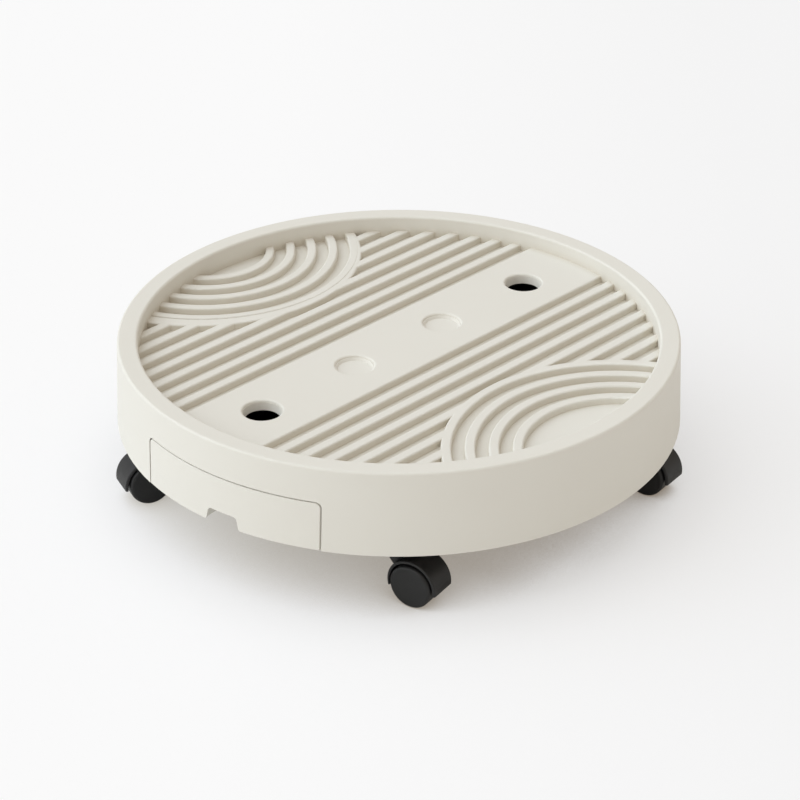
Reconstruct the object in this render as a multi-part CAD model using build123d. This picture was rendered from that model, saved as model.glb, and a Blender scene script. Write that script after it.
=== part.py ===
from build123d import *
import os
from math import cos, radians, sin, sqrt

# A round rolling plant stand. A ribbed deck drains through two holes into a
# pull-out water tray, and five twin-wheel swivel casters carry the deck.
# Millimetres. Z is up, Z = 0 is the floor, and the origin is under the centre
# of the deck. The drawer opens towards -Y.

os.makedirs("parts", exist_ok=True)

# Overall sizes
rim_top = 88.0
rim_radius = 160.7
rim_inner_radius = 149.1
rim_outer_round = 1.5
rim_inner_round = 1.5
skirt_bottom = 38.5
skirt_bottom_radius = 163.0
wall = 3.0
rim_wall = 2.8
foot_bevel = 0.25

# Deck
deck_top = rim_top - 9.4
groove_depth = 4.0
deck_floor = deck_top - groove_depth
deck_plate = 1.8
deck_underside = deck_floor - deck_plate
pattern_angle = -8.05
band_half_width = 28.4
groove_width = 6.88
rib_width = 5.82
rib_pitch = groove_width + rib_width
rib_count = 7
rib_round = 1.1
rib_draft = 0.25
arc_crown = 0.03
rib_bury = 1.2

# Arc ribs: the two fans have their centres outside the rim
right_fan_centre = (170.6, -1.0)
right_fan_first_radius = 42.9
right_fan_pitch = 12.83
right_fan_rib = 5.6
left_fan_centre = (-167.4, 6.5)
left_fan_first_radius = 33.7
left_fan_pitch = 13.0
left_fan_rib = 5.4
fan_ribs = 5
border_centre = (-167.0, 2.0)
border_radius = 95.7
border_inner_centre = (-167.4, 5.3)
border_inner_radius = 91.4

# Drain holes and pot locating dimples, on the plain band
hole_offset = 107.6
hole_radius = 11.0
hole_bottom_radius = 9.9
hole_round = 1.3
dimple_offset = 36.0
dimple_radius = 11.5
dimple_floor_radius = 9.6
dimple_depth = 2.6
dimple_round = 1.2

# Drawer opening and drawer front
opening_half_width = 59.35
opening_top = 67.8
opening_corner = 3.5
front_half_width = 58.45
front_top = 67.0
front_bottom = 39.1
front_corner = 3.0
front_wall = 2.5
front_back_plane = -140.0
edge_round = 0.5
notch_middle = 0.9
notch_bottom_half_width = 11.2
notch_top_half_width = 9.4
notch_height = 7.6
notch_top_round = 2.5
notch_foot_round = 1.5
notch_wall = 2.0
notch_back = -145.0

# Water tray
tray_half_width = 54.0
tray_back = 127.0
tray_bottom = 41.0
tray_wall = 2.0
tray_corner = 10.0
flange_half_width = 57.6
flange_bottom = 63.4
flange_top = 65.6
tab_half_width = 20.0
tab_thickness = 2.4
tab_top = 70.0
drawer_travel = 180.0
end_gap = 0.3

# Runners that carry the tray flanges
runner_front = front_back_plane + end_gap
runner_back = 105.0
runner_inner = 55.0
runner_web_inner = 58.2
runner_web_outer = 60.7
runner_outer = 70.0
runner_bottom = 61.0
runner_ledge_top = 63.0
runner_roof_bottom = 66.0
runner_top = 68.0
runner_screw_x = 65.5
runner_screw_y = (-96.0, 0.0, 92.0)
screw_boss_radius = 3.8

# Self-tapping screws
screw_radius = 1.45
screw_hole_radius = 1.7
screw_head_radius = 3.0
screw_head_height = 1.9
screw_length = 7.0
front_screw_x = 36.0
front_screw_z = 54.0
drive_radius = 1.2
drive_depth = 1.1

# Stiffening ribs under the deck
stiffener_thickness = 2.2
stiffener_bottom = 62.5
stiffener_start = 74.0
stiffener_y = (-75.0, -38.0, 0.0, 38.0, 80.0)

# Casters: angle of the stem about the centre, and the way the wheels trail
caster_ring_radius = 138.4
casters = {
    "front_right": (-53.7, 3.0),
    "right": (26.2, 0.0),
    "back": (93.6, 20.0),
    "left": (161.4, 205.0),
    "front_left": (-130.0, -119.0),
}
trail = 12.0
wheel_radius = 12.6
wheel_face = 10.3
wheel_inner_face = 2.2
wheel_edge_round = 1.7
wheel_tread_wall = 2.0
wheel_disc_wall = 1.8
wheel_hub_radius = 3.4
wheel_bore_depth = 5.0
hood_radius = 15.25
hood_inner_radius = 13.75
hood_half_width = 8.75
hood_web_half = 1.7
hood_trail_end = 7.1
hood_lead_end = 14.3
hood_edge_round = 1.1
neck_radius = 6.0
neck_top = 36.5
neck_bottom = 23.0
neck_foot_radius = 3.4
neck_foot_bottom = 18.0
neck_round = 0.5
axle_radius = 1.5
axle_clearance = 0.05
stem_radius = 3.0
stem_clearance = 0.05
stem_bottom = 24.7
stem_top = 62.0
collar_radius = 5.6
collar_bottom = 36.8
collar_top = 38.0
socket_radius = 5.9
socket_flange_radius = 7.6
socket_flange_top = 39.2
socket_top = 64.0
boss_radius = 8.6
boss_bore_top = 64.0
ring_groove_bottom = 52.0
ring_groove_height = 1.6
ring_groove_depth = 0.5
gusset_thickness = 2.4
gusset_bottom = 46.0

half_turn = 180.0
reach = 400.0


def box_between(x0, x1, y0, y1, z0, z1):
    """A box given by its low and high corners."""
    size = Box(x1 - x0, y1 - y0, z1 - z0)
    return Pos((x0 + x1) / 2, (y0 + y1) / 2, (z0 + z1) / 2) * size


def cylinder_between(x, y, radius, z0, z1):
    """An upright cylinder from z0 to z1."""
    return Pos(x, y, (z0 + z1) / 2) * Cylinder(radius, z1 - z0)


def cone_between(x, y, lower_radius, upper_radius, z0, z1):
    """An upright cone frustum from z0 to z1."""
    return Pos(x, y, (z0 + z1) / 2) * Cone(lower_radius, upper_radius, z1 - z0)


def polygon_face(points):
    """A flat face in XZ through the given (x, z) points."""
    wire = Polyline([(x, 0, z) for x, z in points], close=True)
    return make_face(wire)


def rounded_face(points, rounds):
    """An XZ polygon whose listed corners are rounded: {corner number: radius}."""
    face = polygon_face(points)
    for number, radius in rounds.items():
        x, z = points[number]
        corner = face.vertices().sort_by_distance((x, 0, z))[0]
        face = fillet(corner, radius)
    return face


def turned(points, rounds):
    """A solid of revolution about Z from a rounded (radius, z) outline."""
    return revolve(rounded_face(points, rounds), Axis.Z, 360)


def skirt_radius(z):
    """Outside radius of the flared skirt at height z."""
    fall = (rim_top - z) / (rim_top - skirt_bottom)
    return rim_radius + (skirt_bottom_radius - rim_radius) * fall


def skirt_slice(inset, z0, z1):
    """A solid frustum that follows the skirt, inset from its outside."""
    lower = skirt_radius(z0) - inset
    upper = skirt_radius(z1) - inset
    return cone_between(0, 0, lower, upper, z0, z1)


def pattern(shape):
    """Turns a deck feature from the rib direction into the part's frame."""
    return Rot(0, 0, pattern_angle) * shape


def at_angle(radius, angle):
    """The x, y of a point at a radius and an angle in degrees."""
    return radius * cos(radians(angle)), radius * sin(radians(angle))


# Deck ribs

def rib_outline(centre, width, crown=0.0):
    """Section of a rib: drafted sides, rounded top, foot sunk in the plate."""
    top = width / 2
    foot = top + rib_draft
    low = deck_floor - deck_plate / 2
    high = deck_top + crown
    points = [
        (centre - foot, low),
        (centre + foot, low),
        (centre + foot, deck_floor),
        (centre + top, high),
        (centre - top, high),
        (centre - foot, deck_floor),
    ]
    return rounded_face(points, {3: rib_round, 4: rib_round})


def straight_bar(centre, width):
    """A rib or band along Y, longer than the deck."""
    section = Pos(0, -reach / 2, 0) * rib_outline(centre, width)
    return extrude(section, amount=reach, dir=(0, 1, 0))


def arc_rib(centre, inner_radius, width, crown):
    """A full ring rib about a fan centre, standing a hair above the deck."""
    ring = revolve(rib_outline(inner_radius + width / 2, width, crown), Axis.Z, 360)
    return Pos(*centre, 0) * ring


def fan(centre, first_radius, pitch, width):
    """The concentric arc ribs of one fan."""
    return [
        arc_rib(centre, first_radius + pitch * k, width, arc_crown) for k in range(fan_ribs)
    ]


def fan_disc(centre, radius):
    """Upright disc that covers a fan, through the deck's thickness."""
    return cylinder_between(*centre, radius, deck_underside - 1, rim_top)


def straight_ribs():
    """The plain band and the straight ribs, cut back where the fans lie."""
    bars = [straight_bar(0, 2 * band_half_width)]
    for side in (-1, 1):
        for k in range(rib_count):
            centre = band_half_width + groove_width + rib_width / 2 + rib_pitch * k
            bars.append(straight_bar(side * centre, rib_width))
    right_edge = right_fan_first_radius + right_fan_pitch * (fan_ribs - 1) + right_fan_rib / 2
    left_edge = border_radius - rib_round - 1
    right_disc = fan_disc(right_fan_centre, right_edge)
    left_disc = fan_disc(border_centre, left_edge)
    return [bar - right_disc - left_disc for bar in bars]


def border():
    """Crescent border outside the left fan, with its thin parting groove."""
    outer = border_radius
    half = (border_radius - border_inner_radius) / 2 + rib_pitch / 2
    ring = arc_rib(border_centre, outer - 2 * half, 2 * half, 2 * arc_crown)
    return ring - fan_disc(border_inner_centre, border_inner_radius)


def deck_ribs():
    """The raised deck features in four groups, trimmed to a round that the rim swallows."""
    groups = [
        straight_ribs(),
        [border()],
        fan(left_fan_centre, left_fan_first_radius, left_fan_pitch, left_fan_rib),
        fan(right_fan_centre, right_fan_first_radius, right_fan_pitch, right_fan_rib),
    ]
    trim = cylinder_between(0, 0, rim_inner_radius + rib_bury, 0, rim_top)
    return [[solid for part in group for solid in (part & trim).solids()] for group in groups]


# Shell

def shell_blank():
    """Rim, skirt and deck plate as one turned moulding."""
    channel_inner = rim_inner_radius + rim_wall
    channel_outer = skirt_radius(rim_top - rim_wall) - wall
    points = [
        (0, deck_underside),
        (channel_inner, deck_underside),
        (channel_inner, rim_top - rim_wall),
        (channel_outer, rim_top - rim_wall),
        (skirt_bottom_radius - wall, skirt_bottom),
        (skirt_bottom_radius - foot_bevel, skirt_bottom),
        (skirt_bottom_radius, skirt_bottom + foot_bevel),
        (rim_radius, rim_top),
        (rim_inner_radius, rim_top),
        (rim_inner_radius, deck_floor),
        (0, deck_floor),
    ]
    rounds = {2: 1.0, 3: 1.0, 7: rim_outer_round, 8: rim_inner_round}
    return turned(points, rounds)


def drain_hole(y):
    """Tapered drain hole with a rounded mouth."""
    low = deck_underside - 1
    taper = (hole_radius - hole_bottom_radius) / (deck_top - deck_underside)
    lower = hole_bottom_radius - taper
    bore = cone_between(0, y, lower, hole_radius, low, deck_top)
    return bore + mouth_round(y, hole_radius, hole_round)


def mouth_round(y, radius, size):
    """The flare that rounds the top edge of a hole or dimple."""
    step = size * (1 - sqrt(0.5))
    arc = ThreePointArc(
        (radius, 0, deck_top - size),
        (radius + step, 0, deck_top - step),
        (radius + size, 0, deck_top),
    )
    rest = Polyline(
        (radius + size, 0, deck_top),
        (radius + size, 0, deck_top + 1),
        (0, 0, deck_top + 1),
        (0, 0, deck_top - size),
        (radius, 0, deck_top - size),
    )
    return Pos(0, y, 0) * revolve(make_face([arc, rest]), Axis.Z, 360)


def dimple(y):
    """Shallow round dimple with a soft edge."""
    bowl = cone_between(0, y, dimple_floor_radius, dimple_radius, deck_top - dimple_depth, deck_top)
    return bowl + mouth_round(y, dimple_radius - 0.4, dimple_round)


def opening_outline(half_width, top, corner, bottom):
    """XZ face with rounded top corners, for the drawer opening and front."""
    points = [(-half_width, bottom), (half_width, bottom), (half_width, top), (-half_width, top)]
    return rounded_face(points, {2: corner, 3: corner})


def drawer_opening():
    """Cutter for the opening in the skirt."""
    face = opening_outline(opening_half_width, opening_top, opening_corner, skirt_bottom - 2)
    front = Pos(0, -skirt_bottom_radius - 5, 0) * face
    return extrude(front, amount=35, dir=(0, 1, 0))


def caster_boss(angle):
    """Boss that holds a stem socket, with a gusset out to the skirt."""
    x, y = at_angle(caster_ring_radius, angle)
    boss = cylinder_between(x, y, boss_radius, socket_flange_top, deck_underside + 0.5)
    web_start = caster_ring_radius
    web_end = skirt_radius(gusset_bottom) - wall / 2
    web = box_between(
        web_start, web_end, -gusset_thickness / 2, gusset_thickness / 2,
        gusset_bottom, deck_underside,
    )
    return boss + Rot(0, 0, angle) * web


def caster_bore(angle):
    """Bore of a caster boss."""
    x, y = at_angle(caster_ring_radius, angle)
    return cylinder_between(x, y, socket_radius, socket_flange_top - 1, boss_bore_top)


def runner_screw_places():
    """Places of the screws that hold the two runners."""
    return [(side * runner_screw_x, y) for side in (-1, 1) for y in runner_screw_y]


def stiffeners():
    """Cross ribs under the deck, on both sides of the drawer."""
    ribs = []
    for y in stiffener_y:
        end = sqrt((rim_inner_radius + rim_wall / 2) ** 2 - y ** 2)
        for x0, x1 in ((stiffener_start, end), (-end, -stiffener_start)):
            half = stiffener_thickness / 2
            ribs.append(box_between(x0, x1, y - half, y + half, stiffener_bottom, deck_underside + 0.5))
    return ribs


def drawer_stop_bar():
    """Bar under the deck that the tray's rear tab meets at full travel."""
    rear_face = tray_back - tab_thickness - drawer_travel - end_gap
    return box_between(-16, 16, rear_face - 2.4, rear_face, runner_top, deck_underside + 0.5)


def deck_shell():
    """The one-piece moulded body."""
    shell = shell_blank()
    for group in deck_ribs():
        shell = shell + [pattern(rib) for rib in group]
    for side in (-1, 1):
        shell -= pattern(drain_hole(side * hole_offset))
        shell -= pattern(dimple(side * dimple_offset))
    adds = [caster_boss(angle) for angle, _ in casters.values()]
    adds += [cylinder_between(x, y, screw_boss_radius, runner_top, deck_underside + 0.5)
             for x, y in runner_screw_places()]
    adds += stiffeners()
    adds.append(drawer_stop_bar())
    shell = shell + adds
    for angle, _ in casters.values():
        shell -= caster_bore(angle)
    for x, y in runner_screw_places():
        shell -= cylinder_between(x, y, screw_radius, runner_top - 1, runner_top + 4.5)
    return shell - drawer_opening()


# Drawer

def front_block(inset, half_width, back, top, corner, bottom):
    """A slice of the skirt's round, cut to the drawer front's outline."""
    face = opening_outline(half_width, top, corner, bottom)
    start = -skirt_bottom_radius - 5
    block = extrude(Pos(0, start, 0) * face, amount=back - start, dir=(0, 1, 0))
    return block & skirt_slice(inset, bottom, rim_top)


def notch_outline(grow):
    """XZ outline of the finger notch, open at the drawer's lower edge."""
    low = front_bottom
    high = front_bottom + notch_height + grow
    foot = notch_bottom_half_width + grow
    head = notch_top_half_width + grow
    side = foot + 6
    points = [
        (-side, low - 3), (side, low - 3), (side, low), (foot, low),
        (head, high), (-head, high), (-foot, low), (-side, low),
    ]
    top_round = notch_top_round + grow
    return rounded_face(points, {
        3: notch_foot_round, 4: top_round, 5: top_round, 6: notch_foot_round,
    })


def notch_prism(grow, back):
    """The finger notch as a prism from in front of the drawer to back."""
    start = -skirt_bottom_radius - 5
    face = Pos(notch_middle, start, 0) * notch_outline(grow)
    return extrude(face, amount=back - start, dir=(0, 1, 0))


def drawer_front():
    """Curved drawer front, open below, with a finger pocket behind the notch."""
    block = front_block(0, front_half_width, front_back_plane, front_top, front_corner, front_bottom)
    block = fillet(outer_front_edges(block), edge_round)
    hollow = front_block(
        wall, front_half_width - front_wall, front_back_plane - front_wall,
        front_top - front_wall, front_corner, front_bottom - 1,
    )
    pocket = notch_prism(notch_wall, notch_back + notch_wall) & block
    front = block - hollow + pocket - notch_prism(0, notch_back)
    for side in (-1, 1):
        boss = y_cylinder(side * front_screw_x, front_screw_z, 4.0, -151.0, front_back_plane - 1)
        bore = y_cylinder(side * front_screw_x, front_screw_z, screw_radius,
                          front_back_plane - screw_length + tray_wall, front_back_plane + 1)
        front = front + boss - bore
    return front


def outer_front_edges(block):
    """Edges of the drawer front's curved face, other than the lower one."""
    face = block.faces().filter_by(GeomType.CONE).sort_by(Axis.Y)[0]
    low = front_bottom + 0.5
    return [edge for edge in face.edges() if edge.center().Z > low]


def y_cylinder(x, z, radius, y0, y1):
    """A cylinder along Y from y0 to y1."""
    return Pos(x, (y0 + y1) / 2, z) * Rot(90, 0, 0) * Cylinder(radius, y1 - y0)


def tray_block(inset, bottom, top):
    """Rounded upright block that follows the tray's plan."""
    width = 2 * (tray_half_width - inset)
    length = tray_back - front_back_plane - 2 * inset
    middle = (tray_back + front_back_plane) / 2
    plan = RectangleRounded(width, length, tray_corner - inset)
    return Pos(0, middle, bottom) * extrude(plan, amount=top - bottom)


def water_tray():
    """Shallow water tray with side flanges and a rear stop tab."""
    body = tray_block(0, tray_bottom, flange_top)
    body = fillet(body.faces().sort_by(Axis.Z)[0].edges(), 1.6)
    cavity = tray_block(tray_wall, tray_bottom + tray_wall, flange_top + 1)
    cavity = fillet(cavity.faces().sort_by(Axis.Z)[0].edges(), 3.0)
    y0 = front_back_plane + tray_corner
    y1 = tray_back - tray_corner
    flanges = [
        box_between(tray_half_width - 1, flange_half_width, y0, y1, flange_bottom, flange_top),
        box_between(-flange_half_width, 1 - tray_half_width, y0, y1, flange_bottom, flange_top),
    ]
    tab = box_between(-tab_half_width, tab_half_width, tray_back - tab_thickness, tray_back,
                      flange_top - 4, tab_top)
    tray = body + flanges + tab - cavity
    for side in (-1, 1):
        tray -= y_cylinder(side * front_screw_x, front_screw_z, screw_hole_radius,
                           front_back_plane - 1, front_back_plane + tray_wall + 1)
    return tray


def runner(side):
    """Channel-section runner with a screw flange, for one side."""
    points = [
        (runner_inner, runner_bottom), (runner_web_outer, runner_bottom),
        (runner_web_outer, runner_roof_bottom), (runner_outer, runner_roof_bottom),
        (runner_outer, runner_top), (runner_inner, runner_top),
        (runner_inner, runner_roof_bottom), (runner_web_inner, runner_roof_bottom),
        (runner_web_inner, runner_ledge_top), (runner_inner, runner_ledge_top),
    ]
    points = [(side * x, z) for x, z in points]
    section = Pos(0, runner_front, 0) * polygon_face(points)
    rail = extrude(section, amount=runner_back - runner_front, dir=(0, 1, 0))
    for x, y in runner_screw_places():
        if x * side > 0:
            rail -= cylinder_between(x, y, screw_hole_radius, runner_roof_bottom - 1, runner_top + 1)
    return rail


def screw():
    """Pan-head self-tapping screw: head below Z = 0, shank up to +Z."""
    shank = cylinder_between(0, 0, screw_radius, 0, screw_length - 1.2)
    tip = cone_between(0, 0, screw_radius, 0.4, screw_length - 1.2, screw_length)
    head = turned(
        [(0, -screw_head_height), (screw_head_radius * 0.8, -screw_head_height),
         (screw_head_radius, -screw_head_height * 0.4), (screw_head_radius, 0), (0, 0)],
        {1: 0.5},
    )
    slot = Box(2 * drive_radius, 0.6, 2 * drive_depth) + Box(0.6, 2 * drive_radius, 2 * drive_depth)
    return shank + tip + head - Pos(0, 0, -screw_head_height) * slot


def runner_screws():
    """The runner screws, driven upwards into the deck's bosses."""
    depth = runner_top - runner_roof_bottom
    place = runner_top - depth
    shank_end = 4.5 + depth
    short = screw() & cylinder_between(0, 0, 10, -5, shank_end)
    return [Pos(x, y, place) * short for x, y in runner_screw_places()]


def drawer_screws():
    """The two screws that hold the curved front on the tray."""
    turned_screw = Rot(90, 0, 0) * screw()
    head_plane = front_back_plane + tray_wall
    return [Pos(side * front_screw_x, head_plane, front_screw_z) * turned_screw for side in (-1, 1)]


# Casters, built with the stem on the Z axis and the wheels trailing to +X

def axle_cylinder(radius, y0, y1):
    """A cylinder about the wheel axis."""
    return Pos(trail, 0, 0) * y_cylinder(0, wheel_radius, radius, y0, y1)


def hood():
    """Cover over both wheels, with a middle web, an axle bore and a stem neck."""
    half = hood_half_width
    outer = axle_cylinder(hood_radius, -half, half)
    outer = fillet(outer.edges().filter_by(GeomType.CIRCLE), hood_edge_round)
    inner = axle_cylinder(hood_inner_radius, -half - 1, half + 1)
    web = axle_cylinder(hood_radius - 0.5, -hood_web_half, hood_web_half)
    cover = outer - inner + web
    for end, turn in ((hood_trail_end, 0), (hood_lead_end, half_turn)):
        cover -= below_plane(end, turn)
    neck = cylinder_between(0, 0, neck_radius, neck_bottom, neck_top)
    neck = fillet(neck.edges().sort_by(Axis.Z)[-1], neck_round)
    neck += cone_between(0, 0, neck_foot_radius, neck_radius, neck_foot_bottom, neck_bottom)
    neck -= inner - web
    neck -= below_plane(hood_lead_end, half_turn)
    body = cover + neck
    body -= cylinder_between(0, 0, stem_radius + stem_clearance, stem_bottom - 0.3, neck_top + 1)
    return body - axle_cylinder(axle_radius, -half, half)


def below_plane(drop, turn):
    """Half space under the hood's end, on the trailing or the leading side."""
    side = 1 if turn == 0 else -1
    block = box_between(0, 30, -30, 30, -40, 0)
    tilted = Rot(0, drop, 0) * block
    if side < 0:
        tilted = Rot(0, 0, half_turn) * tilted
    return Pos(trail, 0, wheel_radius) * tilted


def axle():
    """Steel axle pin, held in the hood's web."""
    end = wheel_inner_face + wheel_bore_depth - 0.4
    pin = axle_cylinder(axle_radius, -end, end)
    return chamfer(pin.edges().filter_by(GeomType.CIRCLE), 0.3)


def wheel(side):
    """One of the twin wheels: closed outer face, open inner side, hub."""
    face = wheel_face
    inner = wheel_inner_face
    tread_inner = wheel_radius - wheel_tread_wall
    points = [
        (axle_radius + axle_clearance, inner),
        (wheel_hub_radius, inner),
        (wheel_hub_radius, face - wheel_disc_wall),
        (tread_inner, face - wheel_disc_wall),
        (tread_inner, inner),
        (wheel_radius, inner),
        (wheel_radius, face),
        (0, face),
        (0, inner + wheel_bore_depth),
        (axle_radius + axle_clearance, inner + wheel_bore_depth),
    ]
    body = turned(points, {2: 0.8, 3: 0.8, 5: 0.5, 6: wheel_edge_round})
    return Pos(trail, 0, wheel_radius) * Rot(90 if side < 0 else -90, 0, 0) * body


def stem():
    """Steel stem with its collar and the groove for the grip ring."""
    top = stem_top
    pin = cylinder_between(0, 0, stem_radius, stem_bottom, top)
    pin = chamfer(pin.edges().filter_by(GeomType.CIRCLE), 0.6)
    collar = cylinder_between(0, 0, collar_radius, collar_bottom, collar_top)
    groove_top = ring_groove_bottom + ring_groove_height
    groove = cylinder_between(0, 0, stem_radius + 1, ring_groove_bottom, groove_top)
    groove -= cylinder_between(0, 0, stem_radius - ring_groove_depth, ring_groove_bottom, groove_top)
    return pin + collar - groove


def grip_ring():
    """Split spring ring that holds a stem in its socket."""
    low = ring_groove_bottom + 0.1
    high = ring_groove_bottom + ring_groove_height - 0.1
    ring = cylinder_between(0, 0, stem_radius, low, high)
    ring -= cylinder_between(0, 0, stem_radius - ring_groove_depth, low, high)
    return ring - box_between(0, stem_radius + 1, -0.5, 0.5, low - 1, high + 1)


def socket():
    """Plastic sleeve pressed into a boss of the deck, with a foot flange."""
    body = cylinder_between(0, 0, socket_radius, socket_flange_top, socket_top)
    body += cylinder_between(0, 0, socket_flange_radius, collar_top, socket_flange_top)
    return body - cylinder_between(0, 0, stem_radius, collar_top - 1, stem_top + 0.5)


def place_caster(shape, angle, heading):
    """Moves a caster piece to its stem's place and turns it to its heading."""
    return Pos(*at_angle(caster_ring_radius, angle), 0) * Rot(0, 0, heading) * shape


def save(name, shapes):
    """Writes one named sub-part, which may be a group of solids."""
    shapes = shapes if isinstance(shapes, list) else [shapes]
    solids = []
    for shape in shapes:
        solids += shape.solids()
    part = Compound(children=solids) if len(solids) > 1 else solids[0]
    part.label = name
    export_step(part, f"parts/{name}.step")


save("deck_shell", deck_shell())
save("runner_left", runner(-1))
save("runner_right", runner(1))
save("runner_screws", runner_screws())
save("drawer_front", drawer_front())
save("water_tray", water_tray())
save("drawer_screws", drawer_screws())

caster_pieces = {
    "socket": socket(),
    "stem": stem(),
    "hood": hood(),
    "axle": axle(),
    "wheel_a": wheel(-1),
    "wheel_b": wheel(1),
}
for caster, (angle, heading) in casters.items():
    for piece, shape in caster_pieces.items():
        save(f"{caster}_{piece}", place_caster(shape, angle, heading))
save("grip_rings", [place_caster(grip_ring(), *place) for place in casters.values()])
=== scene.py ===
"""Looks for the rolling plant stand: materials, floor, light and camera."""

import logging
import math
from dataclasses import dataclass, field
from enum import Enum

import bpy
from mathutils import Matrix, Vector

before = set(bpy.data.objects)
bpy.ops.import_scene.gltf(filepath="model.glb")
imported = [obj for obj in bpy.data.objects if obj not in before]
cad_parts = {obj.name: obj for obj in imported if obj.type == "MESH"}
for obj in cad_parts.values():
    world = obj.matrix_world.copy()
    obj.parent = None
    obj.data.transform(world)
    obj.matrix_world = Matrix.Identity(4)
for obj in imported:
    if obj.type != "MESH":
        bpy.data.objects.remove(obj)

logging.basicConfig(level=logging.INFO, format="%(name)s: %(message)s")
log = logging.getLogger("plant_stand")

Colour = tuple[float, float, float]
Point = tuple[float, float, float]
Span = tuple[float, float]

WHITE: Colour = (1.0, 1.0, 1.0)
SENSOR_WIDTH_MM = 36.0


class Slot(Enum):
    """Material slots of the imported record."""

    IVORY = "ivory_plastic"
    BLACK = "black_plastic"
    WHEEL = "wheel_plastic"
    STEEL = "plated_steel"


class CasterPlace(Enum):
    """The five casters, named by where they stand."""

    FRONT_RIGHT = "front_right"
    RIGHT = "right"
    BACK = "back"
    LEFT = "left"
    FRONT_LEFT = "front_left"


class NodeChain:
    """Small helper that adds and links shader nodes in one material."""

    def __init__(self, name: str) -> None:
        """Makes an empty node material.

        Args:
            name: The material's name.
        """
        self.material = bpy.data.materials.new(name)
        self.material.use_nodes = True
        self.tree = self.material.node_tree
        self.tree.nodes.clear()
        self.output = self.add("ShaderNodeOutputMaterial")

    def add(self, kind: str, **settings: object) -> bpy.types.Node:
        """Adds a node.

        Args:
            kind: The node's bl_idname.
            settings: Properties to set on the node.

        Returns:
            The new node.
        """
        node = self.tree.nodes.new(kind)
        for key, value in settings.items():
            setattr(node, key, value)
        return node

    def link(self, source: bpy.types.NodeSocket, target: bpy.types.NodeSocket) -> None:
        """Links two sockets.

        Args:
            source: The output socket.
            target: The input socket.
        """
        self.tree.links.new(source, target)

    def position(self) -> bpy.types.NodeSocket:
        """Gives the object-space position.

        Returns:
            The Object output of a Texture Coordinate node.
        """
        return self.add("ShaderNodeTexCoord").outputs["Object"]

    def noise(
        self, where: bpy.types.NodeSocket, scale: float, detail: float, rough: float = 0.5
    ) -> bpy.types.NodeSocket:
        """Adds a noise texture.

        Args:
            where: The coordinate to read.
            scale: Cells per metre.
            detail: Octaves.
            rough: How strong the finer octaves are.

        Returns:
            The noise value's socket.
        """
        node = self.add("ShaderNodeTexNoise")
        node.inputs["Scale"].default_value = scale
        node.inputs["Detail"].default_value = detail
        node.inputs["Roughness"].default_value = rough
        self.link(where, node.inputs["Vector"])
        return node.outputs["Fac"]

    def ranged(
        self, value: bpy.types.NodeSocket, low: float, high: float, start: float = 0.3, end: float = 0.7
    ) -> bpy.types.NodeSocket:
        """Maps a value from start..end to low..high.

        Args:
            value: The socket to map.
            low: The result at start.
            high: The result at end.
            start: The input value that gives low.
            end: The input value that gives high.

        Returns:
            The mapped socket.
        """
        node = self.add("ShaderNodeMapRange")
        for key, number in (("From Min", start), ("From Max", end), ("To Min", low), ("To Max", high)):
            node.inputs[key].default_value = number
        self.link(value, node.inputs["Value"])
        return node.outputs["Result"]

    def plain(self, colour: Colour) -> bpy.types.NodeSocket:
        """Adds an even colour.

        Args:
            colour: A linear colour.

        Returns:
            The colour's socket.
        """
        node = self.add("ShaderNodeRGB")
        node.outputs[0].default_value = (*colour, 1.0)
        return node.outputs[0]

    def mixed(
        self,
        factor: bpy.types.NodeSocket,
        first: Colour | bpy.types.NodeSocket,
        second: Colour | bpy.types.NodeSocket,
    ) -> bpy.types.NodeSocket:
        """Mixes two colours.

        Args:
            factor: 0 gives first, 1 gives second.
            first: A linear colour or a colour socket.
            second: A linear colour or a colour socket.

        Returns:
            The mixed colour's socket.
        """
        node = self.add("ShaderNodeMix", data_type="RGBA")
        for entry, colour in zip((node.inputs[6], node.inputs[7]), (first, second)):
            if isinstance(colour, bpy.types.NodeSocket):
                self.link(colour, entry)
            else:
                entry.default_value = (*colour, 1.0)
        self.link(factor, node.inputs[0])
        return node.outputs[2]

    def times(self, first: bpy.types.NodeSocket, second: bpy.types.NodeSocket) -> bpy.types.NodeSocket:
        """Multiplies two colours.

        Args:
            first: One colour.
            second: The other colour.

        Returns:
            The product's socket.
        """
        node = self.add("ShaderNodeMix", data_type="RGBA", blend_type="MULTIPLY")
        node.inputs[0].default_value = 1.0
        self.link(first, node.inputs[6])
        self.link(second, node.inputs[7])
        return node.outputs[2]

    def bump(
        self,
        height: bpy.types.NodeSocket,
        distance: float,
        strength: float,
        under: bpy.types.NodeSocket | None = None,
    ) -> bpy.types.NodeSocket:
        """Adds a bump node.

        Args:
            height: The height's socket.
            distance: Height of a full step in metres.
            strength: How much of it shows.
            under: Another bump's normal that this one adds to.

        Returns:
            The normal's socket.
        """
        node = self.add("ShaderNodeBump")
        node.inputs["Distance"].default_value = distance
        node.inputs["Strength"].default_value = strength
        self.link(height, node.inputs["Height"])
        if under is not None:
            self.link(under, node.inputs["Normal"])
        return node.outputs["Normal"]


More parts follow.
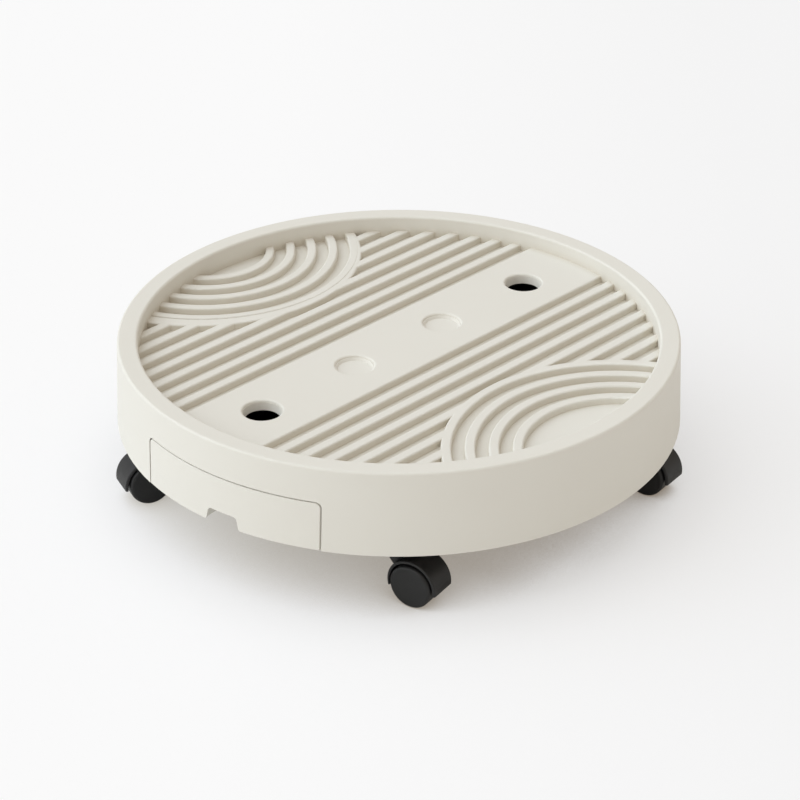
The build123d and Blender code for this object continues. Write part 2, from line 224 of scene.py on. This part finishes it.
@dataclass(frozen=True)
class Finish:
    """A moulded plastic surface, with an optional painted shade in its grooves and corners.

    Attributes:
        name: The material's name.
        colour: Main linear colour.
        tint: Colour of the faint, broad patches.
        roughness: Mean roughness.
        roughness_spread: How far the roughness wanders either way.
        specular: Specular level.
        grain_per_m: Cells per metre of the fine moulding grain.
        grain_height: Height of the grain in metres.
        wave_height: Height of the broad sink waves in metres.
        painted_crevice_shade: Colour deep in grooves and corners, or None to leave them plain.
        crevice_reach: How far away a wall still counts as a corner, in metres.
        crevice_span: Openness of a deep corner and of an open surface, from 0 to 1.
        patches_per_m: Cells per metre of the colour patches.
        wander_per_m: Cells per metre of the roughness.
        waves_per_m: Cells per metre of the sink waves.
    """

    name: str
    colour: Colour
    tint: Colour
    roughness: float
    roughness_spread: float
    specular: float
    grain_per_m: float = 2600.0
    grain_height: float = 0.00002
    wave_height: float = 0.00004
    # painted_crevice_shade: Painted shade, the colour deep in grooves and corners where less light reaches,
    # or None to leave them plain.
    painted_crevice_shade: Colour | None = None
    crevice_reach: float = 0.008
    crevice_span: Span = (0.35, 0.85)
    patches_per_m: float = 16.0
    wander_per_m: float = 90.0
    waves_per_m: float = 22.0

    def build(self) -> bpy.types.Material:
        """Makes the material.

        Returns:
            The node material.
        """
        chain = NodeChain(self.name)
        where = chain.position()
        shader = chain.add("ShaderNodeBsdfPrincipled")
        shader.inputs["Specular IOR Level"].default_value = self.specular
        patches = chain.noise(where, self.patches_per_m, 3.0)
        paint = chain.mixed(chain.ranged(patches, 0.0, 1.0), self.colour, self.tint)
        if self.painted_crevice_shade is not None:
            paint = self.shaded_corners(chain, paint)
        chain.link(paint, shader.inputs["Base Color"])
        wander = chain.noise(where, self.wander_per_m, 4.0, 0.6)
        low = self.roughness - self.roughness_spread
        high = self.roughness + self.roughness_spread
        chain.link(chain.ranged(wander, low, high), shader.inputs["Roughness"])
        wave = chain.bump(chain.noise(where, self.waves_per_m, 1.0), self.wave_height, 0.6)
        grain = chain.noise(where, self.grain_per_m, 2.0, 0.55)
        chain.link(chain.bump(grain, self.grain_height, 0.5, wave), shader.inputs["Normal"])
        chain.link(shader.outputs[0], chain.output.inputs["Surface"])
        return chain.material

    def shaded_corners(self, chain: NodeChain, paint: bpy.types.NodeSocket) -> bpy.types.NodeSocket:
        """Paints shade into grooves and corners: a deeper tone than the open surface, wherever ambient
        occlusion finds nearby walls.

        Args:
            chain: The material's nodes.
            paint: The colour of the open surface.

        Returns:
            The colour with its painted shade in the corners.
        """
        # Painted shade: an ambient occlusion node pulls the colour towards the painted shade colour in
        # grooves and corners.
        corner = chain.add("ShaderNodeAmbientOcclusion", samples=8, only_local=True)
        corner.inputs["Distance"].default_value = self.crevice_reach
        painted_shade_share = chain.ranged(corner.outputs["AO"], 1.0, 0.0, *self.crevice_span)
        return chain.mixed(painted_shade_share, paint, self.painted_crevice_shade)


@dataclass(frozen=True)
class PlatedSteel:
    """Zinc-plated steel with fine turning marks along its length.

    Attributes:
        name: The material's name.
        colour: Main linear colour.
        dull: Colour of the duller patches.
        roughness: Middle of the roughness.
        polish: How far the roughness drops below the middle.
        bloom: How far the roughness rises above the middle.
        marks_per_m: Cells per metre of the turning marks.
        mark_height: Height of the turning marks in metres.
        patches_per_m: Cells per metre of the duller patches.
        stretch: Scale of the marks along each axis.
    """

    name: str
    colour: Colour = (0.62, 0.62, 0.60)
    dull: Colour = (0.44, 0.43, 0.40)
    roughness: float = 0.32
    polish: float = 0.08
    bloom: float = 0.12
    marks_per_m: float = 3200.0
    mark_height: float = 0.00001
    patches_per_m: float = 240.0
    stretch: Point = (0.15, 0.15, 1.0)

    def build(self) -> bpy.types.Material:
        """Makes the material.

        Returns:
            The node material.
        """
        chain = NodeChain(self.name)
        where = chain.position()
        shader = chain.add("ShaderNodeBsdfPrincipled")
        shader.inputs["Metallic"].default_value = 1.0
        stretched = chain.add("ShaderNodeMapping")
        stretched.inputs["Scale"].default_value = self.stretch
        chain.link(where, stretched.inputs["Vector"])
        marks = chain.noise(stretched.outputs["Vector"], self.marks_per_m, 3.0)
        patches = chain.noise(where, self.patches_per_m, 4.0, 0.6)
        paint = chain.mixed(chain.ranged(patches, 0.0, 1.0), self.colour, self.dull)
        chain.link(paint, shader.inputs["Base Color"])
        low = self.roughness - self.polish
        high = self.roughness + self.bloom
        chain.link(chain.ranged(patches, low, high), shader.inputs["Roughness"])
        chain.link(chain.bump(marks, self.mark_height, 0.35), shader.inputs["Normal"])
        chain.link(shader.outputs[0], chain.output.inputs["Surface"])
        return chain.material


@dataclass(frozen=True)
class PaperFloor:
    """The pale studio floor, which the camera sees a little brighter than it lights.

    Attributes:
        name: The material's name.
        colour: Linear colour for every ray but the camera's.
        seen: Linear colour of the lit part that the camera sees.
        lift: Linear glow that the camera sees on top of it.
        contact: What is left of each colour under the object, on the side away from the light.
        contact_lit: What is left of each colour under the object, on the side of the light.
        contact_reach: How far up the floor looks for the object, in metres.
        contact_span: Openness of the floor where the contact shade is full and where it ends.
        side_span: Where the contact shade is weakest and strongest along fall_along, in metres.
        fall_along: Direction away from the light, along which its share on the floor falls.
        fall_to: What is left of the light at the far end of the fall.
        fall_span: Where the fall starts and ends along fall_along, in metres.
        fibre_per_m: Cells per metre of the paper's fibre.
        fibre_tone: What the fibre leaves of the seen colour.
    """

    name: str = "studio_floor"
    colour: Colour = (0.90, 0.90, 0.895)
    seen: Colour = (0.410, 0.412, 0.425)
    lift: Colour = (0.555, 0.553, 0.550)
    contact: Colour = (0.38, 0.31, 0.23)
    contact_lit: Colour = (0.80, 0.77, 0.70)
    contact_reach: float = 0.10
    contact_span: Span = (0.15, 0.60)
    side_span: Span = (-0.13, 0.06)
    fall_along: Point = (0.81, 0.587, 0.0)
    fall_to: Colour = (0.95, 0.95, 0.95)
    fall_span: Span = (-0.10, 0.25)
    fibre_per_m: float = 900.0
    fibre_tone: float = 0.99

    def shade(self, chain: NodeChain) -> bpy.types.NodeSocket:
        """Makes the factor of the contact shade and of the slow fall of the light.

        Args:
            chain: The material's nodes.

        Returns:
            The factor's colour socket.
        """
        where = chain.position()
        along = chain.add("ShaderNodeVectorMath", operation="DOT_PRODUCT")
        along.inputs[1].default_value = self.fall_along
        chain.link(where, along.inputs[0])
        near = chain.add("ShaderNodeAmbientOcclusion", samples=12)
        near.inputs["Distance"].default_value = self.contact_reach
        open_sky = chain.ranged(near.outputs["AO"], 0.0, 1.0, *self.contact_span)
        side = chain.ranged(along.outputs["Value"], 0.0, 1.0, *self.side_span)
        deepest = chain.mixed(side, self.contact_lit, self.contact)
        contact = chain.mixed(open_sky, deepest, WHITE)
        distance = chain.ranged(along.outputs["Value"], 0.0, 1.0, *self.fall_span)
        fall = chain.mixed(distance, WHITE, self.fall_to)
        return chain.times(contact, fall)

    def build(self) -> bpy.types.Material:
        """Makes the material.

        Returns:
            The node material.
        """
        chain = NodeChain(self.name)
        shade = self.shade(chain)
        plain = chain.add("ShaderNodeBsdfDiffuse")
        plain.inputs["Color"].default_value = (*self.colour, 1.0)
        lit = chain.add("ShaderNodeBsdfDiffuse")
        fibre = chain.noise(chain.position(), self.fibre_per_m, 3.0)
        darker = tuple(self.fibre_tone * part for part in self.seen)
        paper = chain.mixed(chain.ranged(fibre, 0.0, 1.0), self.seen, darker)
        chain.link(chain.times(paper, shade), lit.inputs["Color"])
        glow = chain.add("ShaderNodeEmission")
        chain.link(chain.times(chain.plain(self.lift), shade), glow.inputs["Color"])
        both = chain.add("ShaderNodeAddShader")
        chain.link(lit.outputs[0], both.inputs[0])
        chain.link(glow.outputs[0], both.inputs[1])
        path = chain.add("ShaderNodeLightPath")
        mix = chain.add("ShaderNodeMixShader")
        chain.link(path.outputs["Is Camera Ray"], mix.inputs[0])
        chain.link(plain.outputs[0], mix.inputs[1])
        chain.link(both.outputs[0], mix.inputs[2])
        chain.link(mix.outputs[0], chain.output.inputs["Surface"])
        return chain.material


IVORY_FINISH = Finish(
    name="ivory_moulding",
    colour=(0.775, 0.758, 0.708),
    tint=(0.765, 0.747, 0.695),
    roughness=0.52,
    roughness_spread=0.05,
    specular=0.42,
    # Painted shade for the grooves and corners, standing in for the shade that falls there.
    painted_crevice_shade=(0.684, 0.643, 0.564),
)
BLACK_FINISH = Finish(
    name="black_moulding",
    colour=(0.015, 0.015, 0.016),
    tint=(0.020, 0.019, 0.019),
    roughness=0.46,
    roughness_spread=0.07,
    specular=0.36,
    grain_per_m=3200.0,
)
WHEEL_FINISH = Finish(
    name="black_wheel",
    colour=(0.013, 0.013, 0.014),
    tint=(0.018, 0.018, 0.018),
    roughness=0.42,
    roughness_spread=0.08,
    specular=0.36,
    grain_per_m=2800.0,
)


@dataclass
class Paintbox:
    """Every finish that the pieces use, built once.

    Attributes:
        ivory: Plastic of the body and the drawer's front.
        black: Plastic of the tray, the runners, the hoods and the sockets.
        wheel: Plastic of the wheels.
        steel: Plated steel of stems, axles, screws and grip rings.
    """

    ivory: bpy.types.Material = field(default_factory=IVORY_FINISH.build)
    black: bpy.types.Material = field(default_factory=BLACK_FINISH.build)
    wheel: bpy.types.Material = field(default_factory=WHEEL_FINISH.build)
    steel: bpy.types.Material = field(default_factory=lambda: PlatedSteel("plated_steel_pin").build())

    def of(self, slot: Slot) -> bpy.types.Material:
        """Gives the material of a slot.

        Args:
            slot: The record's material slot.

        Returns:
            The material.
        """
        return {
            Slot.IVORY: self.ivory,
            Slot.BLACK: self.black,
            Slot.WHEEL: self.wheel,
            Slot.STEEL: self.steel,
        }[slot]


def dress(node: str, material: bpy.types.Material) -> bpy.types.Object:
    """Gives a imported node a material.

    Args:
        node: The node's name.
        material: The material for all of its faces.

    Returns:
        The node's object.
    """
    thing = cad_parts[node]
    for number in range(len(thing.material_slots)):
        thing.material_slots[number].material = material
    if not thing.material_slots:
        thing.data.materials.append(material)
    return thing


@dataclass
class DeckBody:
    """The one-piece moulded body with its rim, ribs and skirt.

    Attributes:
        paints: The finishes.
    """

    paints: Paintbox

    def build(self) -> list[bpy.types.Object]:
        """Dresses the body.

        Returns:
            The pieces.
        """
        return [dress("deck_shell", self.paints.ivory)]


@dataclass
class WaterDrawer:
    """The pull-out drawer: curved front, water tray, runners and screws.

    Attributes:
        paints: The finishes.
    """

    paints: Paintbox

    def build(self) -> list[bpy.types.Object]:
        """Dresses the drawer's pieces.

        Returns:
            The pieces.
        """
        pieces = [dress("drawer_front", self.paints.ivory)]
        for node in ("water_tray", "runner_left", "runner_right"):
            pieces.append(dress(node, self.paints.black))
        for node in ("drawer_screws", "runner_screws"):
            pieces.append(dress(node, self.paints.steel))
        return pieces


@dataclass
class Caster:
    """One twin-wheel swivel caster.

    Attributes:
        place: Which of the five it is.
        paints: The finishes.
    """

    place: CasterPlace
    paints: Paintbox

    def build(self) -> list[bpy.types.Object]:
        """Dresses the caster's pieces.

        Returns:
            The pieces.
        """
        name = self.place.value
        pieces = [
            dress(f"{name}_hood", self.paints.black),
            dress(f"{name}_socket", self.paints.black),
            dress(f"{name}_stem", self.paints.steel),
            dress(f"{name}_axle", self.paints.steel),
        ]
        for letter in "ab":
            pieces.append(dress(f"{name}_wheel_{letter}", self.paints.wheel))
        return pieces


@dataclass
class GripRings:
    """The split rings that hold the stems, packed as one group.

    Attributes:
        paints: The finishes.
    """

    paints: Paintbox

    def build(self) -> list[bpy.types.Object]:
        """Dresses the rings.

        Returns:
            The pieces.
        """
        return [dress("grip_rings", self.paints.steel)]


@dataclass
class Lamp:
    """A very wide, far lamp.

    Attributes:
        name: The lamp's name.
        azimuth: Where it stands, in degrees from the camera's right-hand side,
            counter-clockwise seen from above.
        elevation: Degrees above the floor.
        strength: Irradiance in W/m2 on a surface that faces it.
        spread: Apparent width in degrees.
        colour: Linear colour.
    """

    name: str
    azimuth: float
    elevation: float
    strength: float
    spread: float = 50.0
    colour: Colour = WHITE

    def build(self, camera_azimuth: float) -> bpy.types.Object:
        """Adds the lamp.

        Args:
            camera_azimuth: The camera's azimuth in degrees.

        Returns:
            The lamp's object.
        """
        data = bpy.data.lights.new(self.name, "SUN")
        data.energy = self.strength
        data.angle = math.radians(self.spread)
        data.color = self.colour
        lamp = bpy.data.objects.new(self.name, data)
        turn = math.radians(self.azimuth + camera_azimuth)
        rise = math.radians(self.elevation)
        towards = Vector((math.cos(turn) * math.cos(rise), math.sin(turn) * math.cos(rise), math.sin(rise)))
        lamp.rotation_mode = "QUATERNION"
        lamp.rotation_quaternion = towards.to_track_quat("Z", "Y")
        bpy.context.scene.collection.objects.link(lamp)
        return lamp


@dataclass
class Studio:
    """Floor, backdrop, light and camera.

    Attributes:
        camera_at: The camera's place in metres.
        azimuth: The camera's azimuth in degrees; 0 looks along +Y.
        elevation: How far the camera looks down, in degrees.
        lens: Focal length in millimetres, for SENSOR_WIDTH_MM.
        background: Linear value of the backdrop.
        dome: Linear colour and strength of the even light from all round.
        floor_half: Half of the floor's side in metres.
        lamps: The lamps.
    """

    camera_at: Point = (0.7426, -1.0240, 0.7566)
    azimuth: float = 35.92
    elevation: float = 29.496
    lens: float = 112.43
    background: float = 0.955
    dome: Colour = (0.520, 0.468, 0.402)
    floor_half: float = 6.0
    lamps: tuple[Lamp, ...] = (
        Lamp("window_left_low", 180.0, 20.0, 0.550, colour=(0.83, 0.92, 1.0)),
        Lamp("window_left_high", 180.0, 50.0, 0.488, colour=(0.81, 0.91, 1.0)),
        Lamp("front_left_low", 225.0, 20.0, 0.255, colour=(0.89, 0.98, 1.0)),
        Lamp("left_of_front_low", 200.0, 20.0, 0.330, colour=(0.86, 0.95, 1.0)),
        Lamp("right_low", 0.0, 20.0, 0.110, colour=(1.0, 0.98, 0.97)),
        Lamp("front_left_high", 225.0, 50.0, 0.258, colour=(0.96, 0.97, 1.0)),
        Lamp("back_left_low", 135.0, 20.0, 0.132, colour=(0.69, 0.77, 1.0)),
        Lamp("back_left_high", 135.0, 50.0, 0.314, colour=(0.74, 0.87, 1.0)),
        Lamp("top", 90.0, 82.0, 0.460, spread=40.0, colour=(0.80, 0.91, 1.0)),
        Lamp("back_right", 45.0, 20.0, 0.046, colour=(1.0, 0.68, 0.30)),
    )

    def floor(self) -> bpy.types.Object:
        """Adds the floor.

        Returns:
            The floor's object.
        """
        half = self.floor_half
        mesh = bpy.data.meshes.new("floor")
        corners = [(-half, -half, 0), (half, -half, 0), (half, half, 0), (-half, half, 0)]
        mesh.from_pydata(corners, [], [(0, 1, 2, 3)])
        mesh.materials.append(PaperFloor().build())
        floor = bpy.data.objects.new("floor", mesh)
        bpy.context.scene.collection.objects.link(floor)
        return floor

    def sky(self) -> None:
        """Sets the even dome light, and the plain backdrop that the camera sees."""
        world = bpy.data.worlds.new("studio")
        bpy.context.scene.world = world
        world.use_nodes = True
        tree = world.node_tree
        tree.nodes.clear()
        out = tree.nodes.new("ShaderNodeOutputWorld")
        lit = tree.nodes.new("ShaderNodeBackground")
        seen = tree.nodes.new("ShaderNodeBackground")
        mix = tree.nodes.new("ShaderNodeMixShader")
        path = tree.nodes.new("ShaderNodeLightPath")
        lit.inputs["Color"].default_value = (*self.dome, 1.0)
        seen.inputs["Color"].default_value = (*WHITE, 1.0)
        seen.inputs["Strength"].default_value = self.background
        tree.links.new(path.outputs["Is Camera Ray"], mix.inputs[0])
        tree.links.new(lit.outputs[0], mix.inputs[1])
        tree.links.new(seen.outputs[0], mix.inputs[2])
        tree.links.new(mix.outputs[0], out.inputs["Surface"])

    def camera(self) -> bpy.types.Object:
        """Adds the camera.

        Returns:
            The camera's object.
        """
        data = bpy.data.cameras.new("camera")
        data.lens = self.lens
        data.sensor_width = SENSOR_WIDTH_MM
        camera = bpy.data.objects.new("camera", data)
        camera.location = self.camera_at
        turn, drop = math.radians(self.azimuth), math.radians(self.elevation)
        ahead = Vector((-math.sin(turn) * math.cos(drop), math.cos(turn) * math.cos(drop), -math.sin(drop)))
        camera.rotation_mode = "QUATERNION"
        camera.rotation_quaternion = ahead.to_track_quat("-Z", "Y")
        bpy.context.scene.collection.objects.link(camera)
        bpy.context.scene.camera = camera
        return camera

    def build(self) -> None:
        """Sets up floor, light and camera."""
        self.floor()
        self.sky()
        for lamp in self.lamps:
            lamp.build(self.azimuth)
        self.camera()
        bpy.context.scene.view_settings.view_transform = "Standard"


def main() -> None:
    """Builds every sub-assembly and the studio, and reports each piece."""
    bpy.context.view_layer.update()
    paints = Paintbox()
    assemblies = [DeckBody(paints), WaterDrawer(paints)]
    assemblies += [Caster(place, paints) for place in CasterPlace]
    assemblies.append(GripRings(paints))
    for assembly in assemblies:
        for piece in assembly.build():
            log.info("%s made %s", type(assembly).__name__, piece.name)
    Studio().build()


if __name__ == "__main__":
    main()
